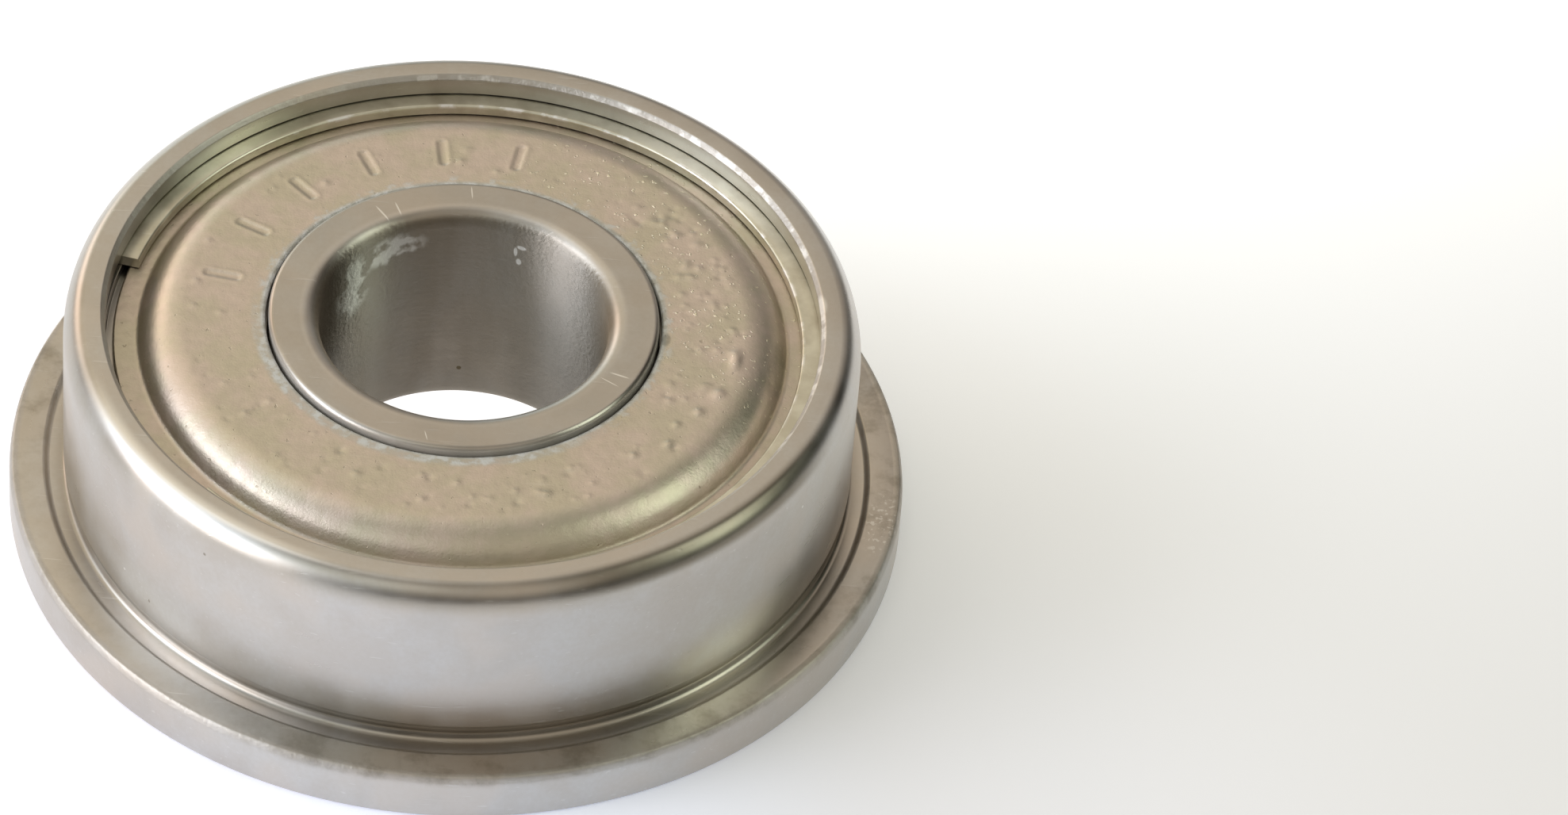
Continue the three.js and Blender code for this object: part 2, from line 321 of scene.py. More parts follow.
def inner_ring_outline():
    centre = PITCH_RADIUS - BALL_RADIUS - RUNNING_GAP + GROOVE_RADIUS
    reach = math.degrees(math.acos((centre - INNER_LAND_RADIUS) / GROOVE_RADIUS))
    corners = [
        (BORE_RADIUS, 0, BORE_ROUNDING),
        (NECK_RADIUS, 0, NECK_ROUNDING),
        (NECK_RADIUS, NECK_DEPTH, 0.05),
        (INNER_LAND_RADIUS, NECK_DEPTH, 0.05),
        *arc(centre, MID, GROOVE_RADIUS, 180 + reach, 180 - reach, GROOVE_STEPS),
        (INNER_LAND_RADIUS, WIDTH - NECK_DEPTH, 0.05),
        (NECK_RADIUS, WIDTH - NECK_DEPTH, 0.05),
        (NECK_RADIUS, WIDTH, NECK_ROUNDING),
        (BORE_RADIUS, WIDTH, BORE_ROUNDING),
    ]
    return rounded(corners, steps=8)


def shield_side(depth, shoulder_steps):
    """The shield's two bends, from the rim inwards, at a depth below its outer side."""
    root = (SHIELD_ROOT_RADIUS, SHIELD_RIM_TOP + ROOT_BEND, ROOT_BEND + depth)
    shoulder = (SHIELD_FLAT_RADIUS, SHIELD_TOP - SHOULDER_BEND, SHOULDER_BEND - depth)
    root_arc = arc(*root, 270, 270 - SHOULDER_SLOPE, ROOT_STEPS)
    return root_arc + arc(*shoulder, 90 - SHOULDER_SLOPE, 90, shoulder_steps)


def shield_outline():
    """The pressed sheet: its outer side from the rim inwards, then its inner side outwards."""
    corners = [
        (SHIELD_RIM_RADIUS, SHIELD_RIM_TOP, 0.06),
        *shield_side(0, 22),
        (SHIELD_BORE_RADIUS, SHIELD_TOP, 0.14),
        (SHIELD_BORE_RADIUS, SHIELD_TOP - SHEET, 0.05),
        *shield_side(SHEET, 14)[::-1],
        (SHIELD_RIM_RADIUS, SHIELD_RIM_TOP - SHEET, 0.06),
    ]
    return subdivided(rounded(corners, steps=5), SHIELD_FACET)


def smooth_step(value, start, end):
    t = np.clip((value - start) / (end - start), 0, 1)
    return t * t * (3 - 2 * t)


def pressed_waves(r, z, angle):
    """The slight unevenness of a pressed sheet."""
    wave = 0.5 * np.sin(3 * angle + 0.7) + 0.3 * np.sin(7 * angle + 2.1) * np.sin(2.4 * r)
    return 0.004 * wave * (1 - smooth_step(r, 8.6, 9.4))


def stamped_bars(x, y):
    """A row of plain bars pressed into the shield, each with a slight lip round it."""
    lift = np.zeros_like(x)
    for degrees in STAMP_ANGLES:
        middle = math.radians(degrees)
        along = x * math.cos(middle) + y * math.sin(middle) - STAMP_RADIUS
        across = y * math.cos(middle) - x * math.sin(middle)
        past_end = np.maximum(np.abs(along) - STAMP_HALF_LENGTH, 0)
        past_side = np.maximum(np.abs(across) - STAMP_HALF_WIDTH, 0)
        edge = np.hypot(past_end, past_side)
        lift -= STAMP_DEPTH * (1 - smooth_step(edge, 0.02, 0.13))
        lift += STAMP_LIP * np.exp(-(((edge - 0.17) / 0.05) ** 2))
    return lift


def handling_lumps():
    """The lumps and dents of a handled sheet: the larger ones, and the scattered small ones."""
    chance = random.Random(LUMP_SEED)
    lumps = list(LARGE_LUMPS)
    for first, last, number in SCATTERED_LUMPS:
        for _ in range(number):
            size = chance.uniform(0.06, 0.13)
            height = chance.choice((1, 1, -1)) * chance.uniform(0.12, 0.24) * size
            radius, angle = chance.uniform(6.1, 7.7), chance.uniform(first, last)
            lumps.append((radius, angle, height, size, size))
    return lumps


def stamped_relief(r, z, angle):
    """The relief of the front shield: its bars, its lumps and the sheet's unevenness."""
    x = r * np.cos(angle)
    y = r * np.sin(angle)
    lift = stamped_bars(x, y)
    for radius, degrees, height, wide, long in handling_lumps():
        middle = math.radians(degrees)
        along = (x * math.cos(middle) + y * math.sin(middle) - radius) / wide
        across = (y * math.cos(middle) - x * math.sin(middle)) / long
        lift += height * np.exp(-(along**2) - across**2)
    on_top = smooth_step(z, SHIELD_TOP - 0.18, SHIELD_TOP - 0.06)
    return pressed_waves(r, z, angle) + lift * on_top


def rivet():
    """Points and faces of a rivet along +Z at the origin, with a domed head at each end."""
    head = [
        (RIVET_HEAD_RADIUS * math.cos(a), RIVET_HEAD_BASE + RIVET_HEAD_HEIGHT * math.sin(a))
        for a in np.linspace(0, RIVET_DOME, 9)
    ]
    half = [(RIVET_RADIUS, RIVET_HEAD_BASE), *head]
    outline = [(r, -z) for r, z in half[::-1]] + half
    around = [2 * math.pi * i / RIVET_SIDES for i in range(RIVET_SIDES)]
    points = [(r * math.cos(a), r * math.sin(a), MID + z) for r, z in outline for a in around]
    loops = joined_loops(len(outline), RIVET_SIDES, closed=False)
    faces = [tuple(reversed(face)) for face in loops]
    last = len(points) - RIVET_SIDES
    ends = [tuple(reversed(range(RIVET_SIDES))), tuple(range(last, last + RIVET_SIDES))]
    return points, faces + ends


def ball():
    """Points and faces of a ball on the axis, at the middle of the bearing's width."""
    shape = bmesh.new()
    bmesh.ops.create_icosphere(shape, subdivisions=5, radius=BALL_RADIUS)
    points = [(v.co.x, v.co.y, v.co.z + MID) for v in shape.verts]
    faces = [tuple(v.index for v in face.verts) for face in shape.faces]
    shape.free()
    return points, faces


def snap_ring_outline():
    corners = [
        (CLIP_INNER_RADIUS, CLIP_BOTTOM, 0.05),
        (CLIP_OUTER_RADIUS, CLIP_BOTTOM, 0.05),
        (CLIP_OUTER_RADIUS, CLIP_TOP, 0.05),
        (CLIP_INNER_RADIUS, CLIP_TOP, 0.07),
    ]
    return rounded(corners, steps=4)


def cage_side(pocket_radius, flat_height, radii, upwards):
    """One side of a cage half's sheet: flat between the balls, and a sphere over each one."""
    loops = []
    for r in radii:
        reach = pocket_radius**2 - flat_height**2
        edge = math.acos((r * r + PITCH_RADIUS**2 - reach) / (2 * r * PITCH_RADIUS))
        gap = 2 * math.pi / BALLS - 2 * edge
        loop = []
        for number in range(BALLS):
            middle = 2 * math.pi * number / BALLS
            for step in range(POCKET_STEPS + 1):
                turn = edge * math.sin(math.pi * (step / POCKET_STEPS - 0.5))
                away = r * r + PITCH_RADIUS**2 - 2 * r * PITCH_RADIUS * math.cos(turn)
                height = math.sqrt(max(pocket_radius**2 - away, flat_height**2))
                loop.append((r, middle + turn, MID + upwards * height))
            for step in range(1, FLAT_STEPS):
                angle = middle + edge + gap * step / FLAT_STEPS
                loop.append((r, angle, MID + upwards * flat_height))
        loops.append([(q * math.cos(a), q * math.sin(a), z) for q, a, z in loop])
    return loops


def cage_half(upwards):
    """A pressed cage half, without holes for the rivets."""
    wide = CAGE_OUTER_RADIUS - CAGE_INNER_RADIUS
    radii = [CAGE_INNER_RADIUS + wide * i / CAGE_STEPS for i in range(CAGE_STEPS + 1)]
    under = cage_side(POCKET_RADIUS, CAGE_HALF_GAP, radii, upwards)
    over = cage_side(POCKET_RADIUS + CAGE_SHEET, CAGE_HALF_GAP + CAGE_SHEET, radii, upwards)
    loops = under + over[::-1] if upwards > 0 else over + under[::-1]
    faces = [tuple(reversed(face)) for face in joined_loops(len(loops), len(loops[0]))]
    return [point for loop in loops for point in loop], faces


# Shader nodes ------------------------------------------------------------------------------------


def node(tree, kind, values=None, **settings):
    """Adds a shader node. A value that is a socket is linked; anything else is set on the input."""
    made = tree.nodes.new("ShaderNode" + kind)
    for key, value in settings.items():
        setattr(made, key, value)
    for key, value in (values or {}).items():
        if isinstance(value, bpy.types.NodeSocket):
            tree.links.new(value, made.inputs[key])
        else:
            made.inputs[key].default_value = value
    return made


def smooth_fade(tree, value, start, end, low=0.0, high=1.0):
    """Goes smoothly from low to high as the value goes from start to end."""
    levels = {0: value, 1: start, 2: end, 3: low, 4: high}
    return node(tree, "MapRange", levels, interpolation_type="SMOOTHSTEP").outputs[0]


def mixed(tree, factor, a, b, mode="MIX"):
    """Goes from a to b as the factor goes from 0 to 1. With the mode ADD, b is added to a."""
    levels = {0: factor, 6: a, 7: b}
    return node(tree, "Mix", levels, data_type="RGBA", blend_type=mode).outputs[2]


def colour(red, green, blue):
    return (red, green, blue, 1)


class Surface:
    """The node tree of a finish, with the masks and noises that the finishes share."""

    def __init__(self, name):
        self.material = bpy.data.materials.new(name)
        self.material.use_nodes = True
        self.tree = self.material.node_tree
        self.shader = self.tree.nodes["Principled BSDF"]
        self.shader.inputs["Metallic"].default_value = 1
        metres = node(self.tree, "TexCoord").outputs["Object"]
        scaled = node(self.tree, "VectorMath", {0: metres, "Scale": 1000}, operation="SCALE")
        self.place = scaled.outputs[0]
        split = node(self.tree, "SeparateXYZ", {0: self.place})
        flat = self.vector(split.outputs[0], split.outputs[1], 0)
        self.radius = node(self.tree, "VectorMath", {0: flat}, operation="LENGTH").outputs["Value"]
        self.height = split.outputs[2]
        self.around = node(self.tree, "VectorMath", {0: flat}, operation="NORMALIZE").outputs[0]
        self.section = self.vector(self.radius, self.height, 0)

    def vector(self, x, y, z):
        return node(self.tree, "CombineXYZ", {0: x, 1: y, 2: z}).outputs[0]

    def math(self, operation, a, b):
        return node(self.tree, "Math", {0: a, 1: b}, operation=operation).outputs[0]

    def times(self, a, b):
        return self.math("MULTIPLY", a, b)

    def plus(self, a, b):
        return self.math("ADD", a, b)

    def total(self, rows):
        """The sum of several values, each times its own weight."""
        result = self.times(*rows[0])
        for value, weight in rows[1:]:
            result = self.plus(result, self.times(value, weight))
        return result

    def most(self, masks):
        """The greatest of several masks."""
        result = masks[0]
        for mask in masks[1:]:
            result = self.math("MAXIMUM", result, mask)
        return result

    def fade(self, value, start, end, low=0.0, high=1.0):
        return smooth_fade(self.tree, value, start, end, low, high)

    def mix(self, factor, a, b):
        return mixed(self.tree, factor, a, b)

    def layered(self, tint, rows):
        """A colour with others laid over it in turn, each where its own mask is 1."""
        for mask, over in rows:
            tint = self.mix(mask, tint, over)
        return tint

    def noise(self, vector, scale, detail=3.0, roughness=0.55):
        levels = {"Vector": vector, "Scale": scale, "Detail": detail, "Roughness": roughness}
        return node(self.tree, "TexNoise", levels).outputs[0]

    def drawn_out(self, arcs, along, detail):
        """Noise with this many features to a radian round the axis, running on along a value."""
        split = node(self.tree, "SeparateXYZ", {0: self.around})
        x = self.times(split.outputs[0], arcs)
        y = self.times(split.outputs[1], arcs)
        return self.noise(self.vector(x, y, along), 1.0, detail)

    def turned(self, lines):
        """Noise drawn out round the axis into fine lines, this many to the millimetre."""
        across = self.plus(self.radius, self.height)
        return self.drawn_out(2.0, self.times(across, lines), 2.0)

    def drawn_up(self, streaks, length):
        """Noise drawn out along the axis, for streaks that run along a bore."""
        return self.drawn_out(streaks, self.times(self.height, length), 3.0)

    def scratches(self, turn, amount):
        """Short fine scratches that lie roughly one way. A larger amount leaves fewer."""
        laid = {"Vector": self.place, "Rotation": (0.3, 0.2, turn), "Scale": (0.55, 9.0, 9.0)}
        long_way = node(self.tree, "Mapping", laid).outputs[0]
        return self.fade(self.noise(long_way, 1.0, 1.5), amount, amount + 0.05)

    def near(self, r, z, inner, outer):
        """1 on the circle at (r, z), fading to 0 between two distances from it."""
        away = node(self.tree, "VectorMath", {0: self.section, 1: (r, z, 0)}, operation="DISTANCE")
        return self.fade(away.outputs["Value"], outer, inner)

    def near_ends(self, r, z, inner, outer):
        """The same on the circle at the front and on its mirror image at the flange's side."""
        front = self.near(r, z, inner, outer)
        return self.most([front, self.near(r, WIDTH - z, inner, outer)])

    def spot(self, degrees, r, z, size, lean=0.0):
        """1 in a small ellipse (out, round, up) at a place on the bearing, soft at its edge."""
        angle = math.radians(degrees)
        place = (r * math.cos(angle), r * math.sin(angle), z)
        laid = {"Vector": self.place, "Location": place, "Scale": size}
        laid["Rotation"] = (0, 0, angle + lean)
        local = node(self.tree, "Mapping", laid, vector_type="TEXTURE").outputs[0]
        away = node(self.tree, "VectorMath", {0: local}, operation="LENGTH").outputs["Value"]
        return self.fade(away, 1.0, 0.55)

    def spots(self, rows):
        return self.most([self.spot(*row) for row in rows])

    def facing(self, degrees, outer, inner):
        """1 on the side of the bearing at an angle, fading out between two angles from it."""
        angle = math.radians(degrees)
        towards = {0: self.around, 1: (math.cos(angle), math.sin(angle), 0)}
        near = node(self.tree, "VectorMath", towards, operation="DOT_PRODUCT").outputs["Value"]
        return self.fade(near, math.cos(math.radians(outer)), math.cos(math.radians(inner)))

    def make_dull(self, mask):
        """Leaves a film of grease or dust where the mask is 1: it scatters light like paint."""
        self.tree.links.new(self.fade(mask, 0, 1, 1, 0.25), self.shader.inputs["Metallic"])

    def finish(self, tint, roughness, relief):
        """Connects the colour, the roughness and the relief's height in millimetres."""
        bump = node(self.tree, "Bump", {"Height": relief, "Distance": MM, "Strength": 1.0})
        self.tree.links.new(tint, self.shader.inputs["Base Color"])
        self.tree.links.new(roughness, self.shader.inputs["Roughness"])
        self.tree.links.new(bump.outputs[0], self.shader.inputs["Normal"])
        return self.material


# Finishes ----------------------------------------------------------------------------------------


def ring_finish(name, marks):
    """Ground and lapped ring steel: fine turning lines, clouding, scratches and darker corners.

    marks(surface) returns masks for (pale scuffs and painted highlights, dark stains and painted
    shade, extra roughness) of that ring, and sets how far its grain stretches the reflections.
    """
    surface = Surface(name)
    round_axis = node(surface.tree, "Tangent", direction_type="RADIAL", axis="Z").outputs[0]
    surface.tree.links.new(round_axis, surface.shader.inputs["Tangent"])
    surface.shader.inputs["Anisotropic Rotation"].default_value = 0.25
    lines = surface.turned(9.0)
    cloud = surface.noise(surface.place, 0.55, 4.0)
    grain = surface.noise(surface.place, 7.0)
    warmth = surface.noise(surface.place, 0.28, 2.0)
    scratch = surface.most([surface.scratches(0.5, 0.70), surface.scratches(2.1, 0.71)])
    scuff_and_highlight, dirt_and_shade, rough = marks(surface)
    tint = surface.layered(
        colour(0.51, 0.485, 0.455),
        [
            (surface.fade(cloud, 0.35, 0.65), colour(0.55, 0.54, 0.525)),
            (surface.fade(grain, 0.3, 0.7, 0, 0.2), colour(0.45, 0.42, 0.37)),
            (surface.fade(warmth, 0.48, 0.64, 0, 0.45), colour(0.57, 0.505, 0.44)),
            (surface.times(scratch, 0.3), colour(0.72, 0.71, 0.70)),
            # Dark stains and painted shade, then pale scuffs and painted highlights.
            (dirt_and_shade, colour(0.16, 0.13, 0.085)),
            (scuff_and_highlight, colour(0.86, 0.86, 0.85)),
        ],
    )
    uneven = surface.total([(lines, 0.06), (rough, 0.25)])
    roughness = surface.plus(surface.fade(cloud, 0.3, 0.7, 0.25, 0.31), uneven)
    rough_grain = surface.times(rough, grain)
    relief = surface.total(
        [(lines, 0.0011), (grain, 0.0006), (scratch, -0.0015), (rough_grain, 0.02)]
    )
    return surface.finish(tint, roughness, relief)


def outer_ring_marks(surface):
    """Specks, flange stains, darker corners, and painted glints, highlight and shade on the rims.
    """
    surface.shader.inputs["Anisotropic"].default_value = 0.35
    rim = surface.near_ends(RIM_RADIUS + 0.03, WIDTH - 0.06, 0.05, 0.14)
    # Painted glints: pale broken dashes along the rim edge where it has wear, on the right side.
    broken = surface.fade(surface.noise(surface.place, 1.7, 4.0), 0.52, 0.64)
    painted_highlight = surface.times(broken, surface.facing(38, 90, 40))
    # A painted highlight: a pale band on the rim's rounding, on the front-left.
    rim_highlight_band = surface.near_ends(10.6, WIDTH - 0.07, 0.15, 0.4)
    painted_rim_highlight = surface.times(rim_highlight_band, surface.facing(-132, 30, 12))
    flecks = surface.fade(surface.noise(surface.place, 6.0), 0.55, 0.61)
    flecked = surface.times(surface.spot(-6, 12.0, FLANGE_THICKNESS, (0.5, 1.6, 0.3)), flecks)
    scuff_and_highlight = surface.most(
        [
            surface.times(rim, painted_highlight),
            surface.times(painted_rim_highlight, 0.85),
            # A burr on the rim's inner edge, painted as a bright glint.
            surface.times(surface.spot(9, 9.9, 6.95, (0.2, 0.5, 0.2)), 0.8),
            surface.times(flecked, 0.6),
            surface.spot(-141, OUTSIDE_RADIUS, 2.9, (0.3, 0.06, 0.04)),
            surface.spot(-28, OUTSIDE_RADIUS, 5.7, (0.3, 0.05, 0.05)),
        ]
    )
    specks = surface.spots(
        [
            (-124, OUTSIDE_RADIUS, 5.9, (0.3, 0.06, 0.06)),
            (-135, OUTSIDE_RADIUS, 2.6, (0.3, 0.05, 0.07)),
        ]
    )
    on_flange = surface.times(
        surface.fade(surface.radius, 11.3, 11.6), surface.fade(surface.height, 1.1, 1.4)
    )
    stains = surface.fade(surface.noise(surface.place, 0.9, 5.0, 0.65), 0.45, 0.7, 0.0, 0.4)
    cleaner = surface.fade(surface.facing(-142, 45, 15), 0, 1, 1.0, 0.3)
    stained = surface.times(on_flange, surface.times(stains, cleaner))
    foot = surface.near(10.9, FLANGE_THICKNESS, 0.15, 0.5)
    recess = surface.near_ends(9.95, WIDTH - 0.8, 0.25, 0.5)
    # Painted shade: the rim's rounding is darkened on the front-right, over its highlight.
    painted_shade = surface.near_ends(10.75, WIDTH - 0.2, 0.25, 0.5)
    painted_shade = surface.times(painted_shade, surface.facing(-46, 30, 10))
    dirt_and_shade = surface.most(
        [
            surface.times(specks, 0.6),
            stained,
            surface.times(foot, 0.28),
            surface.times(recess, 0.12),
            surface.times(painted_shade, 0.65),
        ]
    )
    flange_edge = surface.near(FLANGE_RADIUS - 0.06, FLANGE_THICKNESS - 0.08, 0.1, 0.24)
    rough = surface.most([rim, surface.times(flange_edge, 0.9)])
    return surface.times(scuff_and_highlight, 0.8), dirt_and_shade, rough


def inner_ring_marks(surface):
    """Face scratches; bore smears, chips, rust, drawn streaks, painted shade, painted highlight."""
    bore_edges = (BORE_RADIUS + 0.25, BORE_RADIUS + 0.05)
    drawn = surface.fade(surface.radius, *bore_edges, 0.6, 0.97)
    surface.tree.links.new(drawn, surface.shader.inputs["Anisotropic"])
    scratches = surface.spots(
        [
            (124.6, 4.6, WIDTH, (0.42, 0.035, 0.2), 0.06),
            (118.6, 4.6, WIDTH, (0.32, 0.03, 0.2), -0.08),
            (92.5, 4.95, WIDTH, (0.3, 0.025, 0.2), 0.1),
            (-24, 4.85, WIDTH, (0.34, 0.035, 0.2), 0.1),
            (-28.5, 4.75, WIDTH, (0.36, 0.02, 0.2), -0.05),
            (-97, 5.0, WIDTH, (0.22, 0.02, 0.2), 0.4),
        ]
    )
    smears = surface.spots(
        [(146, BORE_RADIUS, 5.5, (0.5, 0.9, 1.3)), (125, BORE_RADIUS, 6.1, (0.5, 1.3, 0.6))]
    )
    smears = surface.times(smears, surface.fade(surface.drawn_up(6.0, 1.5), 0.42, 0.56))
    chips = surface.spots(
        [
            (71, BORE_RADIUS, 6.12, (0.3, 0.17, 0.09)),
            (73.5, BORE_RADIUS, 5.92, (0.3, 0.07, 0.2)),
            (72, BORE_RADIUS, 5.58, (0.3, 0.1, 0.14)),
        ]
    )
    bore = surface.fade(surface.radius, *bore_edges)
    # A painted highlight: a pale patch on the right side of the bore.
    painted_highlight = surface.times(surface.times(bore, surface.facing(36, 38, 10)), 0.22)
    scuff_and_highlight = surface.most([scratches, surface.times(smears, 0.8), chips, painted_highlight])
    # Painted shade in the bore: darkened all over, and more in drawn streaks.
    streaks = surface.fade(surface.drawn_up(2.5, 0.12), 0.3, 0.7, 0.48, 0.66)
    rust = surface.spot(94.5, BORE_RADIUS, 1.15, (0.3, 0.1, 0.1))
    haze = surface.fade(surface.noise(surface.place, 0.5), 0.35, 0.65, 0.09, 0.17)
    haze = surface.times(haze, surface.fade(surface.radius, 4.4, 4.6))
    dirt_and_shade = surface.most([surface.times(bore, streaks), rust, haze])
    surface.make_dull(surface.near_ends(NECK_RADIUS, WIDTH - 0.32, 0.15, 0.34))
    return surface.times(scuff_and_highlight, 0.8), dirt_and_shade, surface.times(bore, 0.8)


def shield_finish():
    """Pressed sheet steel: matt, warm, mottled and lightly pitted, with grease at its bore."""
    surface = Surface("shield_steel")
    cloud = surface.noise(surface.place, 0.7, 5.0, 0.6)
    mottle = surface.noise(surface.place, 3.2, 4.0, 0.6)
    grain = surface.noise(surface.place, 16.0, 2.0)
    pits = surface.fade(surface.noise(surface.place, 5.5, 2.0), 0.70, 0.76)
    scratch = surface.most([surface.scratches(1.1, 0.71), surface.scratches(2.7, 0.72)])
    smudge = surface.most(
        [
            surface.times(surface.spot(-4, 8.75, 6.4, (0.35, 1.6, 0.6)), 0.55),
            surface.times(surface.spot(-2, 5.6, SHIELD_TOP, (0.16, 0.3, 0.3)), 0.9),
        ]
    )
    glints = surface.fade(surface.noise(surface.place, 7.0, 1.5), 0.66, 0.72)
    glints = surface.times(glints, surface.facing(30, 62, 25))

    # The grease lies on the edge all round, in smears beside it, and thick on one side.
    at_bore = (SHIELD_BORE_RADIUS, SHIELD_TOP - 0.1)
    edge = surface.near_ends(*at_bore, 0.1, 0.26)
    smears = surface.near_ends(*at_bore, 0.2, 0.5)
    smears = surface.times(smears, surface.fade(mottle, 0.5, 0.66, 0.0, 0.7))
    thick = surface.near(SHIELD_BORE_RADIUS + 0.06, SHIELD_TOP - 0.02, 0.2, 0.42)
    thick = surface.times(thick, surface.facing(-112, 78, 40))
    thick = surface.times(thick, surface.fade(mottle, 0.35, 0.6, 0.45, 0.95))
    grease = surface.most([edge, smears, thick])
    surface.make_dull(grease)
    film = surface.mix(
        surface.fade(mottle, 0.4, 0.6), colour(0.42, 0.42, 0.39), colour(0.6, 0.62, 0.63)
    )

    root = surface.near_ends(9.3, SHIELD_RIM_TOP, 0.3, 0.75)
    tint = surface.layered(
        colour(0.61, 0.57, 0.47),
        [
            (surface.fade(cloud, 0.35, 0.65), colour(0.69, 0.60, 0.54)),
            (surface.fade(mottle, 0.35, 0.7, 0, 0.25), colour(0.51, 0.46, 0.38)),
            (surface.times(pits, 0.35), colour(0.34, 0.29, 0.21)),
            (surface.times(scratch, 0.2), colour(0.76, 0.72, 0.64)),
            (surface.times(glints, 0.7), colour(0.95, 0.90, 0.72)),
            (surface.times(root, 0.15), colour(0.22, 0.185, 0.12)),
            (grease, film),
            (surface.times(smudge, mottle), colour(0.10, 0.10, 0.085)),
        ],
    )
    roughness = surface.fade(cloud, 0.3, 0.7, 0.33, 0.38)
    roughness = surface.plus(roughness, surface.times(mottle, 0.1))
    relief = surface.total([(grain, 0.004), (mottle, 0.012), (pits, -0.006), (glints, 0.012)])
    return surface.finish(tint, roughness, relief)


def plain_finish(name, low, high, rough, relief_height, lines=None, worn_glint_edge=None):
    """A simpler steel for the snap rings, the cage, the rivets and the balls.

    It is clouded between two colours. An edge, if one is given, is pale with wear and
    painted glints on one side.
    """
    surface = Surface(name)
    cloud = surface.noise(surface.place, 0.9, 4.0)
    grain = surface.turned(lines) if lines else surface.noise(surface.place, 9.0)
    layers = [
        (surface.fade(cloud, 0.35, 0.65), high),
        (surface.times(surface.scratches(0.9, 0.70), 0.2), colour(0.8, 0.79, 0.77)),
    ]
    if worn_glint_edge:
        # Wear with painted glints along the edge, on one side of the ring.
        patches = surface.fade(surface.noise(surface.place, 1.3, 4.0), 0.5, 0.62)
        patches = surface.times(patches, surface.facing(60, 90, 50))
        wear_and_glints = surface.times(patches, surface.near_ends(*worn_glint_edge, 0.04, 0.12))
        layers.append((wear_and_glints, colour(0.88, 0.89, 0.9)))
    roughness = surface.fade(cloud, 0.3, 0.7, rough, rough * 1.3)
    roughness = surface.plus(roughness, surface.times(grain, rough * 0.3))
    relief = surface.times(grain, relief_height)
    return surface.finish(surface.layered(low, layers), roughness, relief)


# The bearing -------------------------------------------------------------------------------------

outer_steel = ring_finish("outer_ring_steel", outer_ring_marks)
inner_steel = ring_finish("inner_ring_steel", inner_ring_marks)
shield_steel = shield_finish()
clip_steel = plain_finish(
    "snap_ring_steel",
    colour(0.56, 0.54, 0.45),
    colour(0.72, 0.71, 0.61),
    rough=0.26,
    relief_height=0.003,
    lines=6.0,
    worn_glint_edge=(CLIP_INNER_RADIUS + 0.01, CLIP_TOP - 0.01),
)
cage_steel = plain_finish(
    "cage_steel", colour(0.62, 0.60, 0.55), colour(0.70, 0.68, 0.63), 0.3, 0.003
)
ball_steel = plain_finish(
    "ball_steel", colour(0.72, 0.72, 0.72), colour(0.77, 0.77, 0.775), 0.06, 0.0002
)

outer_ring = lathe(outer_ring_outline(), OUTER_RING_SEGMENTS)
inner_ring = lathe(inner_ring_outline(), INNER_RING_SEGMENTS)
make_piece("outer_ring_fine", outer_ring, "outer", "ring_steel", "outer_ring", outer_steel)
make_piece("inner_ring_fine", inner_ring, "inner", "ring_steel", "inner_ring", inner_steel)

# Pieces of one kind share a body.
shield = ("outer", "shield_steel")
front_shield = lathe(shield_outline(), STAMPED_SHIELD_SEGMENTS, stamped_relief)
plain_shield = lathe(shield_outline(), PLAIN_SHIELD_SEGMENTS, pressed_waves)
flange_shield = turned_over(plain_shield)
make_piece("front_shield_fine", front_shield, *shield, "front_shield", shield_steel)
make_piece("flange_shield_fine", flange_shield, *shield, "flange_shield", shield_steel)

snap_ring = ("outer", "clip_steel")
front_clip = swept(snap_ring_outline(), *CLIP_ENDS, CLIP_SEGMENTS)
flange_clip = turned_over(front_clip)
make_piece("front_snap_ring_fine", front_clip, *snap_ring, "front_snap_ring", clip_steel)
make_piece("flange_snap_ring_fine", flange_clip, *snap_ring, "flange_snap_ring", clip_steel)

cage = ("cage", "cage_steel")
make_piece("cage_front_fine", cage_half(1), *cage, "cage_front_half", cage_steel)
make_piece("cage_flange_fine", cage_half(-1), *cage, "cage_flange_half", cage_steel)
for i in range(BALLS):
    n = i + 1
    at_ball = 2 * math.pi * i / BALLS
    fine_ball = moved(ball(), at_ball)
    fine_rivet = moved(rivet(), at_ball + math.pi / BALLS)
    body = f"ball_body_{n}"
    make_piece(f"ball_fine_{n}", fine_ball, body, "ball_steel", f"ball_{n}", ball_steel)
    make_piece(f"cage_rivet_fine_{n}", fine_rivet, *cage, f"cage_rivet_{n}", cage_steel)


# Floor, light and camera -------------------------------------------------------------------------

# The paper glows by itself: a little all over, and more in soft pools. Each pool has its x and y
# and where its edge starts and ends, all in millimetres, and its strength.
PAPER_GLOW = (0.07, 0.07, 0.07)
PAPER_POOLS = (
    (0, 0, 3.6, 7, (0.62, 0.61, 0.6)),
    (-14, -16, 2, 28, (0.31, 0.295, 0.335)),
    (15, -14, 2, 18, (0.06, 0.06, 0.08)),
    (0, -16, 2, 15, (0.08, 0.12, 0.20)),
    (0, 45, 10, 62, (0.66, 0.67, 0.68)),
)

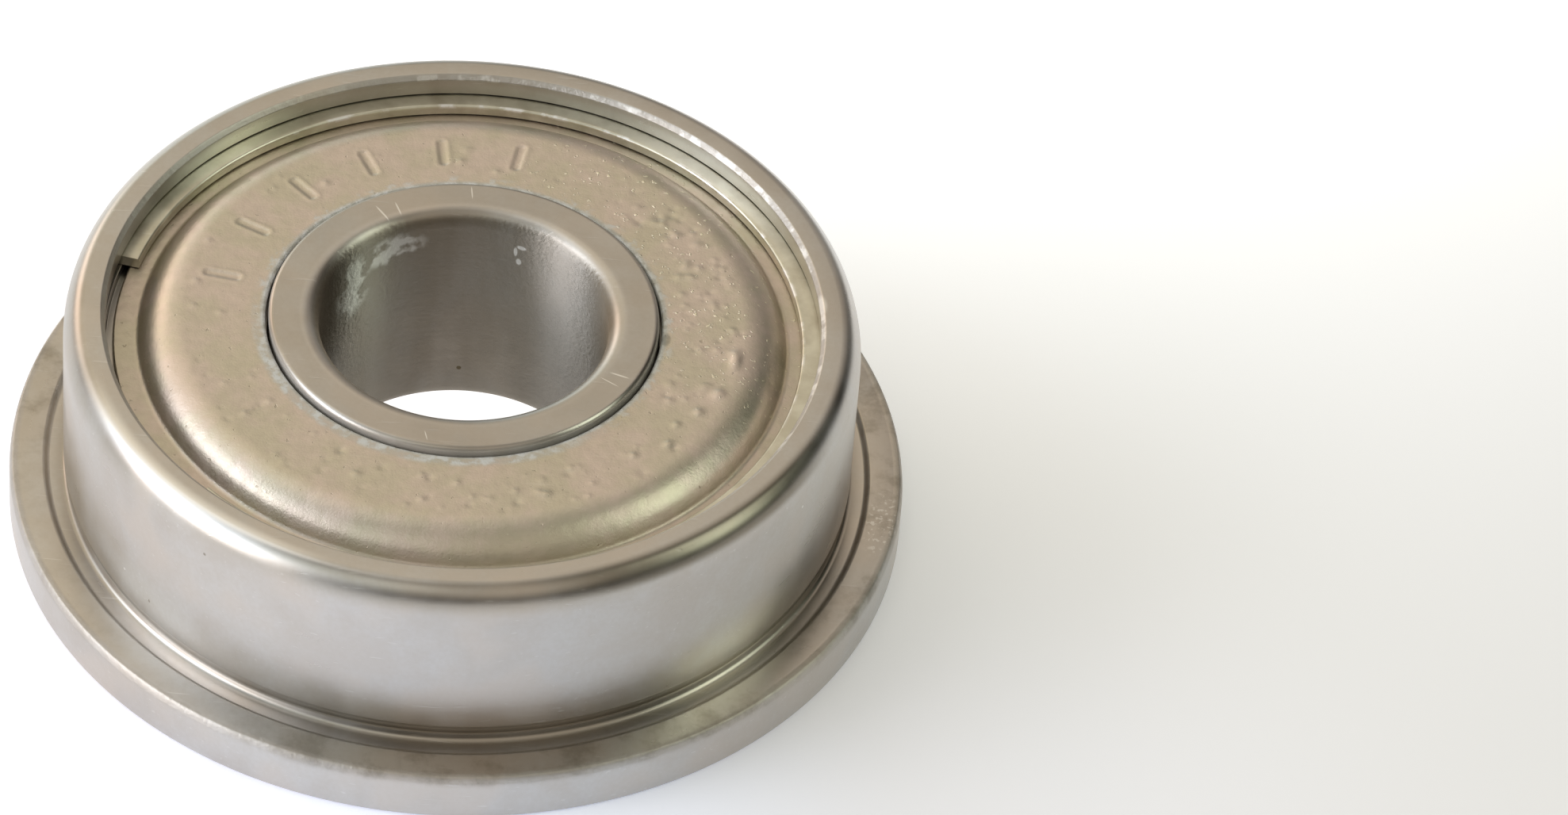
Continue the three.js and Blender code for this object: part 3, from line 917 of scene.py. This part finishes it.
# Azimuth and elevation in degrees, where each light's edge starts and ends, and its strength.
SKY_LIGHTS = (
    (130, 32, 8, 40, (0.57, 0.475, 0.32)),
    (131, 16, 3, 17, (1.50, 1.10, 0.90)),
    (112, 8, 4, 26, (0.85, 0.95, 0.95)),
    (72, 8, 4, 28, (0.30, 0.28, 0.25)),
    (100, 66, 8, 36, (0.56, 0.51, 0.43)),
    (74, 42, 6, 30, (0.37, 0.32, 0.265)),
    (200, 8, 5, 30, (2.20, 1.90, 1.75)),
    (194, 25, 5, 30, (0.30, 0.45, 0.55)),
    (198, 18, 4, 18, (2.80, 2.80, 3.00)),
    (180, 31, 3, 15, (2.30, 2.45, 2.60)),
    (185, 42, 6, 24, (0.80, 0.80, 0.80)),
    (160, 20, 4, 26, (0.75, 0.72, 0.70)),
    (160, 48, 4, 24, (0.45, 0.45, 0.44)),
    (212, 14, 6, 24, (1.50, 1.50, 1.50)),
    (225, 18, 5, 30, (0.60, 0.60, 0.60)),
    (238, 45, 5, 28, (0.50, 0.53, 0.48)),
    (285, 52, 10, 45, (0.48, 0.42, 0.34)),
    (160, 68, 4, 20, (0.65, 0.65, 0.62)),
    (305, 34, 5, 28, (0.13, 0.12, 0.10)),
    (-10, 28, 3, 17, (2.30, 2.50, 2.00)),
    (2, 48, 3, 17, (2.20, 2.30, 1.85)),
)

FLOOR_SIZE = 4
FLOOR_DROP = 0.00002
CAMERA_LENS = 182.2
SENSOR_WIDTH = 36
NEAREST = 0.01
CAMERA_POSE = (
    (0.99647, -0.08391, 0.0, 0.00898),
    (0.05774, 0.68575, -0.72554, -0.15971),
    (0.06090, 0.72300, 0.68820, 0.15593),
    (0, 0, 0, 1),
)


def pale_floor():
    """Pale paper just under the flange, washed out by its own glow."""
    bpy.ops.mesh.primitive_plane_add(size=FLOOR_SIZE, location=(0, 0, -FLOOR_DROP))
    floor = bpy.context.object
    floor.name = "floor"
    paper = bpy.data.materials.new("pale_paper")
    paper.use_nodes = True
    floor.data.materials.append(paper)
    tree = paper.node_tree
    shader = tree.nodes["Principled BSDF"]
    shader.inputs["Base Color"].default_value = colour(0.86, 0.875, 0.92)
    shader.inputs["Roughness"].default_value = 0.9
    shader.inputs["Specular IOR Level"].default_value = 0.1
    shader.inputs["Emission Strength"].default_value = 1
    place = node(tree, "TexCoord").outputs["Object"]
    glow = colour(*PAPER_GLOW)
    for x, y, inner, outer, strength in PAPER_POOLS:
        middle = {0: place, 1: (x * MM, y * MM, 0)}
        away = node(tree, "VectorMath", middle, operation="DISTANCE").outputs["Value"]
        pool = smooth_fade(tree, away, outer * MM, inner * MM)
        glow = mixed(tree, pool, glow, colour(*strength), "ADD")
    tree.links.new(glow, shader.inputs["Emission Color"])


def soft_sky():
    """A dark room with soft lights all round: warm behind, a window on the left, dim in front."""
    world = bpy.data.worlds.new("soft_sky")
    bpy.context.scene.world = world
    world.use_nodes = True
    tree = world.node_tree
    direction = node(tree, "TexCoord").outputs["Generated"]
    light = colour(0, 0, 0)
    for azimuth, elevation, inner, outer, strength in SKY_LIGHTS:
        across, up = math.radians(azimuth), math.radians(elevation)
        towards = (math.cos(up) * math.cos(across), math.cos(up) * math.sin(across), math.sin(up))
        pair = {0: direction, 1: towards}
        aligned = node(tree, "VectorMath", pair, operation="DOT_PRODUCT").outputs["Value"]
        edge = math.cos(math.radians(outer)), math.cos(math.radians(inner))
        light = mixed(tree, smooth_fade(tree, aligned, *edge), light, colour(*strength), "ADD")
    tree.links.new(light, tree.nodes["Background"].inputs["Color"])


def photo_camera():
    """A long lens that looks down on the bearing from the photo's side."""
    data = bpy.data.cameras.new("camera")
    data.lens = CAMERA_LENS
    data.sensor_width = SENSOR_WIDTH
    data.clip_start = NEAREST
    camera = bpy.data.objects.new("camera", data)
    bpy.context.scene.collection.objects.link(camera)
    camera.matrix_world = Matrix(CAMERA_POSE)
    bpy.context.scene.camera = camera


pale_floor()
soft_sky()
photo_camera()
bpy.context.scene.view_settings.view_transform = "Standard"
